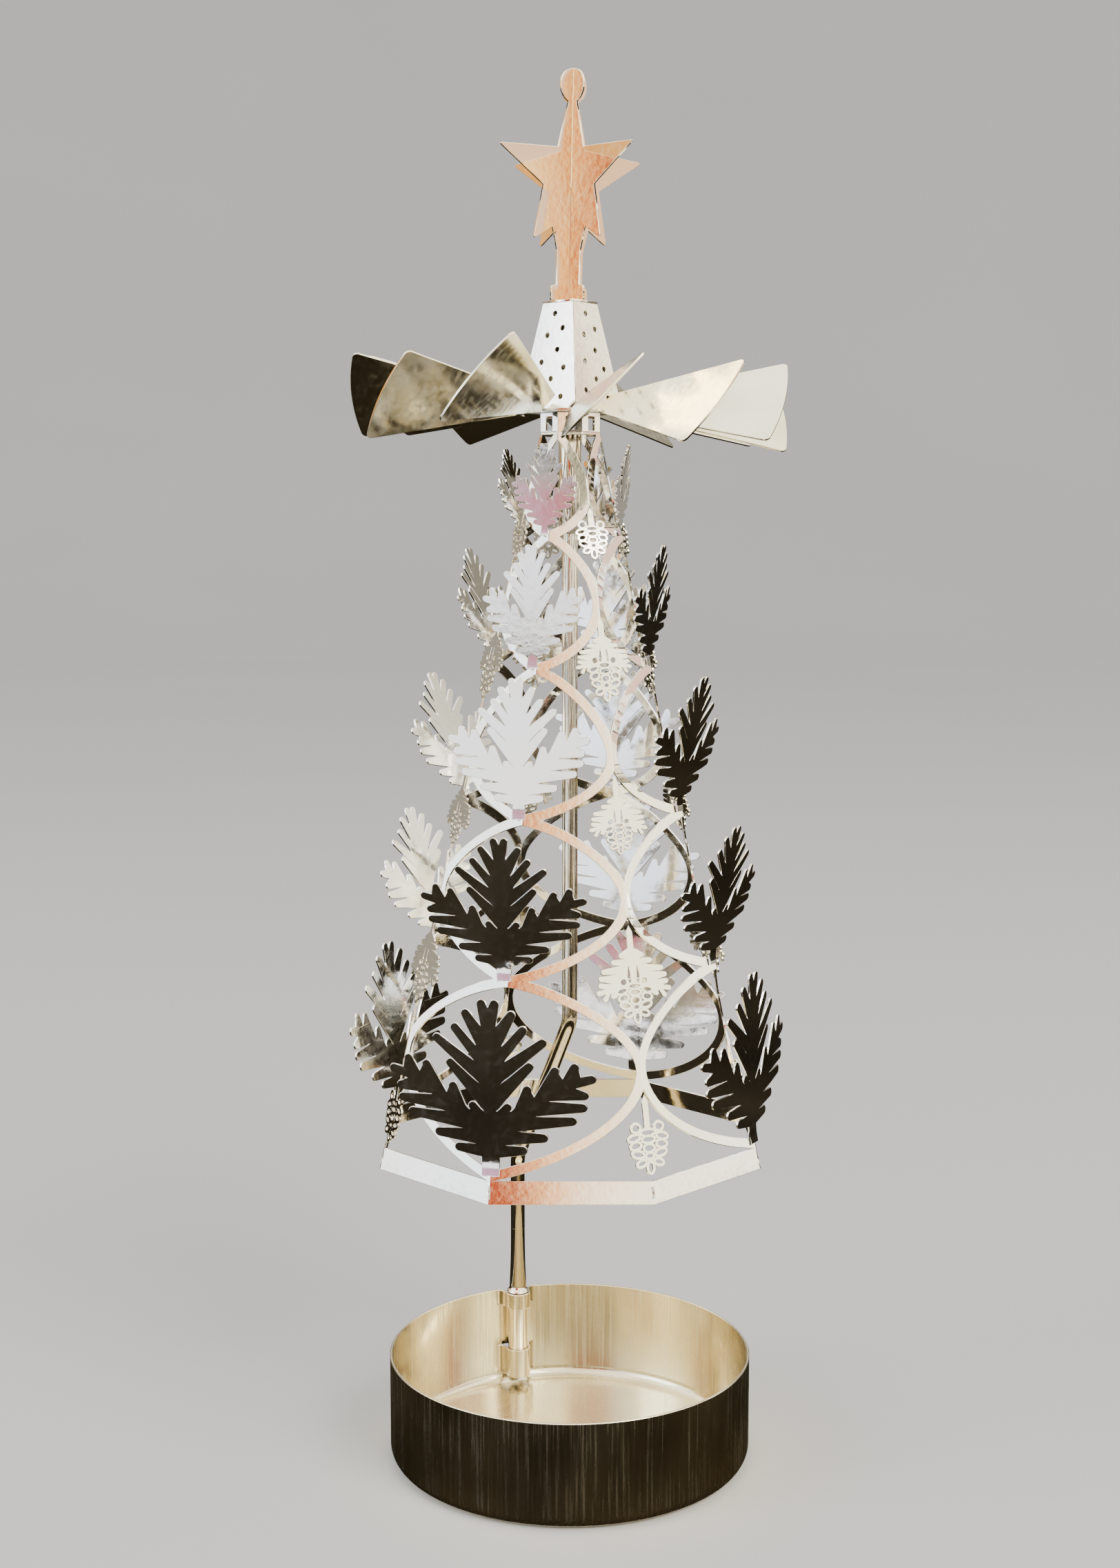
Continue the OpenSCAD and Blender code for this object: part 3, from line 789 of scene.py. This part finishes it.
# Right half of a cone in millimetres at the lowest tier's size, from its stalk's foot:
# centre, half width, half height and turn of each hole; the middle ones have x = 0
CONE_HOLES = ((1.36, -0.15, 0.35, 0.33, 0), (0, -0.71, 0.68, 0.2, 0), (1.66, -1.2, 0.52, 0.2, -14),
              (0, -1.45, 0.6, 0.23, 0), (1.54, -2.04, 0.46, 0.27, -14), (0, -2.39, 0.46, 0.3, 0),
              (1.34, -2.97, 0.52, 0.22, 14), (0, -3.23, 0.3, 0.2, 0), (1.02, -3.96, 0.4, 0.18, -20),
              (0, -4.46, 0.21, 0.48, 0))
CONE_RIM = 0.36
CONE_STALK_HALF_W = 0.36
# Each tier's cones: length of the stalk, size, width as a share of it, and drop from the join to the crotch
CONE_STALK = (2.4, 5.0, 3.9, 3.75, 0.9)
CONE_SIZE = (1.0, 0.91, 0.71, 0.92, 0.77)
CONE_WIDE = (1.0, 1.0, 1.0, 0.88, 1.04)
CROTCH_DROP = (3.6, 3.8, 3.2, 2.7, 2.25)
# Range of the cones' tilt in radians, and their cup across
CONE_TILT = (-0.03, 0.06)
CONE_CUP = 0.01
# Fan of needles beside the cones, 0 where a tier has none; right half in millimetres at size 1
FAN_SIZE = (0, 1.0, 0.78, 0.75, 0)
FAN_TIPS = ((1.5, -2.4), (2.48, -2.95), (3.75, -3.9), (4.1, -4.6), (4.2, -5.3), (4.5, -6.2), (3.7, -7.1),
            (2.8, -6.8))
FAN_NOTCHES = ((0.42, -1.5), (0.8, -2.6), (1.4, -3.3), (1.95, -4.2), (2.5, -5.2), (3.5, -5.75), (3.5, -6.3),
               (2.9, -6.3), (2.2, -6.8))


def cone_outlines(i):
    """Solids and holes of one of tier i's cones, with its stalk and its fan of needles."""
    size, stalk = CONE_SIZE[i], CONE_STALK[i]
    fit = lambda p: (p[0] * size * CONE_WIDE[i], p[1] * size - stalk)
    solids, holes = [], []
    for x, y, rx, ry, turn in CONE_HOLES:
        for side in ((-1, 1) if x else (1,)):
            rim = ellipse(side * x, y, rx + CONE_RIM, ry + CONE_RIM, side * turn, 20)
            solids.append([fit(p) for p in rim])
            holes.append([fit(p) for p in ellipse(side * x, y, rx, ry, side * turn, 12)])
    half, low = CONE_STALK_HALF_W, -stalk - 0.6 * size
    solids.append([(-half, low), (half, low), (half, 0.3), (0, 1.0), (-half, 0.3)])
    fan = FAN_SIZE[i]
    if fan:
        fit = lambda p: (p[0] * fan, p[1] * fan)
        right = needle_row(FAN_TIPS, FAN_NOTCHES, fit, 0.3 * fan, 5, -1) + [fit((0.9, -4.9))]
        right.reverse()
        solids.append(right + mirrored(right))
        for side in (-1, 1):
            slit = [fit((side * 0.38, -4.8)), fit((side * 0.72, -4.7)), fit((side * 0.5, -3.4))]
            holes.append(slit[::side])
    return solids, holes


def cone_place(azimuth, z0, tilt, cup):
    """Hangs a cone from the crease, y = 0 at the crotch under the join."""
    out, side = around(azimuth), around(azimuth + 90)
    foot = out * (crease_r(z0) - SHEET / 2)

    def place(x, y, h):
        rise = h - SHEET / 2 - cup * x * x
        lean = -CREASE_TILT + tilt * smooth_step(-y / 3)
        return (foot + out * (y * math.sin(lean) + rise * math.cos(lean)) + side * x
                + UP * (z0 + y * math.cos(lean) - rise * math.sin(lean)))

    return place


def make_cones():
    dice = random.Random(MESH_SEED + 1)
    for i in range(5):
        solids, holes = cone_outlines(i)
        rows = [[(-5, -0.5 * t), (5, -0.5 * t)] for t in range(1, 24)]
        parts = []
        for k in range(4):
            place = cone_place(BRANCH_AZIMUTH + 45 + 90 * k, JOIN_ZS[i] - CROTCH_DROP[i],
                               dice.uniform(*CONE_TILT), CONE_CUP)
            parts.append(cut_sheet(solids, holes, place, lines=rows))
        name = f"pine_cone_ring_{i + 1}"
        mesh_piece(f"hanging_{name}", join_parts(parts), CONE, name, "rotor")


# ---- Collar, hub and blades

def make_collar():
    collar_r = crease_r(TREE_TOP_Z)
    low, high = TREE_TOP_Z, HUB_Z
    half = collar_r * math.sin(FACE_HALF)
    solids = [rectangle(0, low, 16 * half, high)]
    holes, lines = [], []
    slot_half_w, slot_low, slot_high, round_w = 0.5, 0.15, 1.7, 0.06
    for k in range(8):
        middle = (2 * k + 1) * half
        holes.append(rectangle(middle - slot_half_w, low + slot_low, middle + slot_half_w, low + slot_high))
        lines += [[(2 * k * half + s, low), (2 * k * half + s, high)] for s in (round_w, 2 * half - round_w)]

    def place(x, y, h):
        k = min(int(x / (2 * half)), 7)
        middle = BRANCH_AZIMUTH + 45 * (k + 0.5)
        t = x - (2 * k + 1) * half
        r = collar_r * math.cos(FACE_HALF) - SHEET + h
        return around(middle) * r + around(middle + 90) * t + UP * y

    shape = cut_sheet(solids, holes, place, lines=lines)
    mesh_piece("tree_collar_slotted", shape, LATTICE, "tree_collar", "rotor")


def make_hub():
    play, soft, bore_soft = 0.05, 0.05, 0.04
    bore, z, top = PIVOT_R + play, HUB_Z, HUB_Z + SHEET
    profile = [(bore, z + bore_soft), (bore + bore_soft, z), (HUB_R - soft, z), (HUB_R, z + soft),
               (HUB_R, top - soft), (HUB_R - soft, top), (bore + bore_soft, top), (bore, top - bore_soft)]
    mesh_piece("fan_hub_disc", lathe(profile, 96, closed=True), BLADE, "fan_hub", "rotor")


def blade_outline():
    """A blade's blank: its outer edge is an arc about the hub, with small round corners."""
    r = BLADE_CORNER_R
    side = math.atan2((BLADE_TIP_W - BLADE_ROOT_W) / 2, BLADE_REACH - BLADE_ROOT)
    turn = math.degrees(math.asin((BLADE_TIP_W / 2 - r) / (BLADE_REACH - r)))
    corner = ((BLADE_REACH - r) * math.cos(math.radians(turn)), BLADE_TIP_W / 2 - r)
    upper = [(BLADE_ROOT, BLADE_ROOT_W / 2)]
    upper += arc(*corner, r, 90 + math.degrees(side), turn, 6)
    upper += arc(0, 0, BLADE_REACH, turn, 0, 6)[1:]
    return [(x, -y) for x, y in upper] + upper[::-1][1:]


def make_blades():
    dice = random.Random(MESH_SEED + 2)
    outline = blade_outline()
    rows = [[(r, -6.4), (r, 6.4)] for r in (7, 8, 9, 10.5, 12, 14, 16, 18, 20, 22)]
    rows += [[(BLADE_ROOT, t * BLADE_ROOT_W / 2), (BLADE_REACH, t * BLADE_TIP_W / 2)]
             for t in (-0.6, -0.3, 0, 0.3, 0.6)]
    for k in range(BLADE_COUNT):
        azimuth = BLADE_AZIMUTH + 360 / BLADE_COUNT * (k + 1) + BLADE_WANDER[k]
        out, side = around(azimuth), around(azimuth + 90)
        bow = dice.uniform(-BLADE_BOW, BLADE_BOW)
        lift = math.tan(math.radians(BLADE_LIFT[k]))

        def place(x, y, h):
            rise = h - SHEET / 2 + bow * (y * y - 12)
            c, s = math.cos(BLADE_PITCH), math.sin(BLADE_PITCH)
            z = BLADE_Z + y * s + rise * c + lift * (x - BLADE_ROOT)
            return out * x + side * (y * c - rise * s) + UP * z

        name = f"fan_blade_{k + 1}"
        shape = cut_sheet([outline], [], place, lines=rows)
        mesh_piece(f"{name}_polished", shape, BLADE, name, "rotor")


# ---- Cap and star

# Holes of a cap panel: share of its width from the left and of its height from the top
CAP_HOLES = ((0.45, 0.105), (0.7, 0.245), (0.32, 0.305), (0.6, 0.445), (0.28, 0.555), (0.76, 0.615),
             (0.52, 0.715), (0.25, 0.825), (0.73, 0.885))
CAP_HOLE_R = 0.31


def make_cap():
    rise = CAP_TOP_Z - CAP_FOOT_Z
    tilt = math.atan((CAP_FOOT_R - CAP_TOP_R) * math.cos(math.pi / 4) / rise)
    foot_w, top_w = CAP_FOOT_R * math.sin(math.pi / 4), CAP_TOP_R * math.sin(math.pi / 4)
    length = rise / math.cos(tilt)
    gap, mitre = 0.05, 0.9
    for k in range(4):
        middle = CAP_AZIMUTH + 90 * (k + 0.5)
        out, side = around(middle), around(middle + 90)
        outline = [(-foot_w + gap, 0), (foot_w - gap, 0), (top_w - gap, length), (-top_w + gap, length)]
        centres = [((2 * u - 1) * (top_w + (foot_w - top_w) * v), length * (1 - v)) for u, v in CAP_HOLES]
        holes = [ellipse(*centre, CAP_HOLE_R, CAP_HOLE_R) for centre in centres]

        def place(x, y, h):
            lift = h - SHEET
            inward = min(lift, 0) * math.copysign(min(abs(x) / foot_w, 1), x) * mitre
            r = CAP_FOOT_R * math.cos(math.pi / 4) - y * math.sin(tilt) + lift * math.cos(tilt)
            z = CAP_FOOT_Z + y * math.cos(tilt) + lift * math.sin(tilt)
            return out * r + side * (x + inward) + UP * z

        name = f"cap_panel_{k + 1}"
        mesh_piece(f"{name}_pierced", cut_sheet([outline], holes, place), CAP, name, "rotor")
    corner = [around(CAP_AZIMUTH + 90 * k) * CAP_TOP_R for k in range(4)]
    shape = cut_sheet([[(p.x, p.y) for p in corner]], [], lambda x, y, h: Vector((x, y, CAP_TOP_Z + h)))
    mesh_piece("cap_top_plate", shape, CAP, "cap_top", "rotor")


# Corners of the star's right half from its foot up: x, height above the foot, and rounding
STAR_SIDE = ((2.65, 0, 0.1), (2.65, 1.55, 0.25), (1.85, 1.75, 0), (1.9, 5.45, 0), (2.62, 8.0, 0),
             (5.35, 6.45, 0.4), (4.06, 12.45, 0), (10.45, 16.3, 0.45), (2.07, 16.75, 0), (1.24, 21.75, 0))
KNOB_R = 1.9
STAR_LAP_Z = 148.0
STAR_LEAN = math.radians(1.3)
# Height at which the leaning star is on the axis
STAR_LEAN_Z = STAR_LAP_Z - 4


def star_half():
    """Right half of the star's outline from its foot up; each corner has its own rounding."""
    corners = [(Vector((x, STAR_FOOT_Z + y)), r) for x, y, r in STAR_SIDE]
    line = []
    for k, (p, r) in enumerate(corners):
        if not r or k in (0, len(corners) - 1):
            line.append(tuple(p))
            continue
        a, b = corners[k - 1][0], corners[k + 1][0]
        start, end = p + (a - p).normalized() * r * 1.4, p + (b - p).normalized() * r * 1.4
        line += [tuple(q) for q in bend(start, p, end, 6)]
    neck = math.degrees(math.asin(min(1.0, (TOP_Z - KNOB_R - line[-1][1]) / KNOB_R)))
    return line[:-1] + arc(0, TOP_Z - KNOB_R, KNOB_R, -neck + 4, 90, 14)


def make_star():
    right = star_half()
    outline = right + mirrored(right[:-1])
    half_slot = SHEET / 2 + 0.01
    spans = ((STAR_LAP_Z, TOP_Z + 1), (STAR_FOOT_Z - 1, STAR_LAP_Z))
    for k, (low, high) in enumerate(spans):
        azimuth = STAR_AZIMUTH + 90 * k
        out, side = around(azimuth), around(azimuth - 90)
        slot = rectangle(-half_slot, low, half_slot, high)

        def place(x, y, h):
            lean = Vector((1, 0, 0)) * ((y - STAR_LEAN_Z) * math.tan(STAR_LEAN))
            return out * x + side * (h - SHEET / 2) + UP * y + lean

        name = f"star_sheet_{k + 1}"
        mesh_piece(f"{name}_cut", cut_sheet([outline], [slot], place), STAR, name, "rotor")


# ---- Studio

FLOOR_R = 1.6
SWEEP_R = 1.2
BACKDROP_TOP_Z = 4.0
# For pieces that only reflections see
UNSEEN = dict(visible_camera=False, visible_diffuse=False, visible_shadow=False, visible_transmission=False)
ROOM_STRENGTH = 3.0
PLAIN_STRENGTH = 0.75


def stage_piece(name, points, faces, material, **seen):
    """A piece of the studio in metres; seen are its ray visibility settings."""
    mesh = bpy.data.meshes.new(name)
    mesh.from_pydata(points, [], faces)
    mesh.shade_smooth()
    mesh.materials.append(material)
    piece = bpy.data.objects.new(name, mesh)
    bpy.context.scene.collection.objects.link(piece)
    for key, value in seen.items():
        setattr(piece, key, value)


def matt(name, scale, detail, roughness, low, high):
    """A dull surface that is mottled between two colours."""
    material, tree, shader = node_tree(name)
    mottle = ramp(tree, noise(tree, object_coords(tree), scale, detail), [(0.3, low), (0.7, high)])
    tree.links.new(mottle, shader.inputs["Base Color"])
    shader.inputs["Roughness"].default_value = roughness
    shader.inputs["Specular IOR Level"].default_value = 0.0
    return material


def make_floor():
    """A pale floor that sweeps up into a round backdrop."""
    pale = matt("pale floor", 3, 2.0, 0.8, (0.76, 0.755, 0.745), (0.79, 0.785, 0.775))
    points, faces = lathe([(0, 0), (0.3, 0), (0.8, 0), (FLOOR_R, 0)], 96)
    stage_piece("floor", points, faces, pale)
    sweep = [(FLOOR_R, 0)] + arc(FLOOR_R, SWEEP_R, SWEEP_R, 270, 360, 24)[1:]
    points, faces = lathe(sweep + [(FLOOR_R + SWEEP_R, BACKDROP_TOP_Z)], 96)
    stage_piece("backdrop", points, faces, pale, visible_glossy=False, visible_diffuse=False,
                visible_shadow=False)


def make_reflections():
    """What only reflections see: a dark mat around the cup, a peach card that stands on the right, and
    a bright mat that lies in front on the left."""
    dark = matt("dark mat", 30, 3.0, 0.9, (0.010, 0.008, 0.005), (0.035, 0.028, 0.018))
    under_cup, mat_r, dark_z, bright_z = 0.0006, 1.2, 0.0002, 0.0005
    points, faces = lathe([(CUP_R * MM - under_cup, dark_z), (mat_r, dark_z)], 64)
    stage_piece("dark_mat", points, faces, dark, **UNSEEN)
    peach, tree, shader = node_tree("peach card")
    stops = [(0.3, (1.0, 0.34, 0.09)), (0.7, (1.0, 0.40, 0.12))]
    glow = ramp(tree, noise(tree, object_coords(tree), 9, 2.0), stops)
    tree.links.new(glow, shader.inputs["Emission Color"])
    shader.inputs["Emission Strength"].default_value = 0.8
    card = [(0.30, y, z) for y, z in rectangle(-0.18, 0.14, 0.08, 0.27)]
    stage_piece("peach_card", card, [(3, 2, 1, 0)], peach, **UNSEEN)
    bright, tree, shader = node_tree("bright mat")
    split = add_node(tree, "ShaderNodeSeparateXYZ")
    tree.links.new(object_coords(tree), split.inputs["Vector"])
    reach = add_node(tree, "ShaderNodeMapRange")
    reach.inputs["From Min"].default_value, reach.inputs["From Max"].default_value = -0.25, 0.05
    tree.links.new(split.outputs["X"], reach.inputs["Value"])
    glow = ramp(tree, reach.outputs["Result"], [(0.2, (0.78, 0.86, 1.0)), (0.8, (1.0, 0.93, 0.78))])
    tree.links.new(glow, shader.inputs["Emission Color"])
    shader.inputs["Emission Strength"].default_value = 1.1
    sector = arc(0, 0, 0.225, 196, 262, 24) + arc(0, 0, 1.0, 262, 196, 24)
    points = [(x, y, bright_z) for x, y in sector]
    stage_piece("bright_mat", points, [list(range(len(sector)))], bright, **UNSEEN)


def make_light(name, place, target, size, power, colour):
    """An area light that points from place to target."""
    data = bpy.data.lights.new(name, "AREA")
    data.shape = "RECTANGLE"
    data.size, data.size_y = size
    data.energy = power
    data.color = colour
    lamp = bpy.data.objects.new(name, data)
    lamp.location = place
    lamp.rotation_mode = "QUATERNION"
    lamp.rotation_quaternion = (Vector(target) - Vector(place)).to_track_quat("-Z", "Y")
    bpy.context.scene.collection.objects.link(lamp)


def make_world():
    """Plain soft light, and a room that only reflections see: it is cool on the left and warm on the
    right, with a red and a peach sector in front and dim ones behind."""
    world = bpy.data.worlds.new("studio")
    world.use_nodes = True
    tree = world.node_tree
    tree.nodes.clear()
    coords = add_node(tree, "ShaderNodeTexCoord").outputs["Generated"]
    split = add_node(tree, "ShaderNodeSeparateXYZ")
    tree.links.new(coords, split.inputs["Vector"])
    turn = add_node(tree, "ShaderNodeMath", operation="ARCTAN2")
    tree.links.new(split.outputs["X"], turn.inputs[0])
    backwards = add_node(tree, "ShaderNodeMath", operation="MULTIPLY")
    tree.links.new(split.outputs["Y"], backwards.inputs[0])
    backwards.inputs[1].default_value = -1.0
    tree.links.new(backwards.outputs[0], turn.inputs[1])
    share = add_node(tree, "ShaderNodeMapRange")
    share.inputs["From Min"].default_value = -math.pi
    share.inputs["From Max"].default_value = math.pi
    tree.links.new(turn.outputs[0], share.inputs["Value"])
    dim = (0.14, 0.128, 0.108)
    cool, cream, red, peach = (0.86, 0.94, 1.0), (1.0, 0.94, 0.74), (0.26, 0.035, 0.012), (0.85, 0.42, 0.16)
    stops = [(0.0, dim), (0.14, dim), (0.17, (0.36, 0.17, 0.045)), (0.230, (0.46, 0.23, 0.07)),
             (0.236, cool), (0.36, cool), (0.405, (0.5, 0.52, 0.75)), (0.43, red), (0.4975, red),
             (0.5005, peach), (0.506, cream), (0.80, cream), (0.84, (0.11, 0.10, 0.08)), (1.0, dim)]
    sides = ramp(tree, share.outputs["Result"], stops)
    top = ramp(tree, split.outputs["Z"], [(0.0, 0.0), (0.35, 0.0), (0.62, 1.0)])
    room = mix_colour(tree, top, sides, (1.0, 0.95, 0.84))
    soft = add_node(tree, "ShaderNodeBackground", Strength=ROOM_STRENGTH)
    tree.links.new(room, soft.inputs["Color"])
    plain = add_node(tree, "ShaderNodeBackground", Strength=PLAIN_STRENGTH)
    plain.inputs["Color"].default_value = (1.0, 0.98, 0.95, 1)
    path = add_node(tree, "ShaderNodeLightPath")
    mix = add_node(tree, "ShaderNodeMixShader")
    tree.links.new(path.outputs["Is Glossy Ray"], mix.inputs["Fac"])
    tree.links.new(plain.outputs["Background"], mix.inputs[1])
    tree.links.new(soft.outputs["Background"], mix.inputs[2])
    out = add_node(tree, "ShaderNodeOutputWorld")
    tree.links.new(mix.outputs["Shader"], out.inputs["Surface"])
    bpy.context.scene.world = world


def make_camera():
    data = bpy.data.cameras.new("camera")
    data.sensor_fit = "AUTO"
    data.sensor_width = 36.0
    data.lens = 47.30
    data.clip_start, data.clip_end = 0.01, 20.0
    camera = bpy.data.objects.new("camera", data)
    camera.location = Vector((-1.15, -237.5, 109.3)) * MM
    looks_down = 6.875
    camera.rotation_euler = (math.radians(90 - looks_down), 0, 0)
    bpy.context.scene.collection.objects.link(camera)
    bpy.context.scene.camera = camera


make_cup()
make_stem()
make_pivot()
make_lattice()
make_sprigs()
make_cones()
make_collar()
make_hub()
make_blades()
make_cap()
make_star()
make_floor()
make_reflections()
make_light("key", place=(0.5, -0.55, 0.75), target=(0, 0, 0.07), size=(0.5, 0.5), power=7.0,
           colour=(1.0, 0.95, 0.87))
make_light("fill", place=(-0.7, -0.3, 0.45), target=(0, 0, 0.07), size=(0.4, 0.6), power=2.5,
           colour=(0.88, 0.94, 1.0))
make_world()
make_camera()
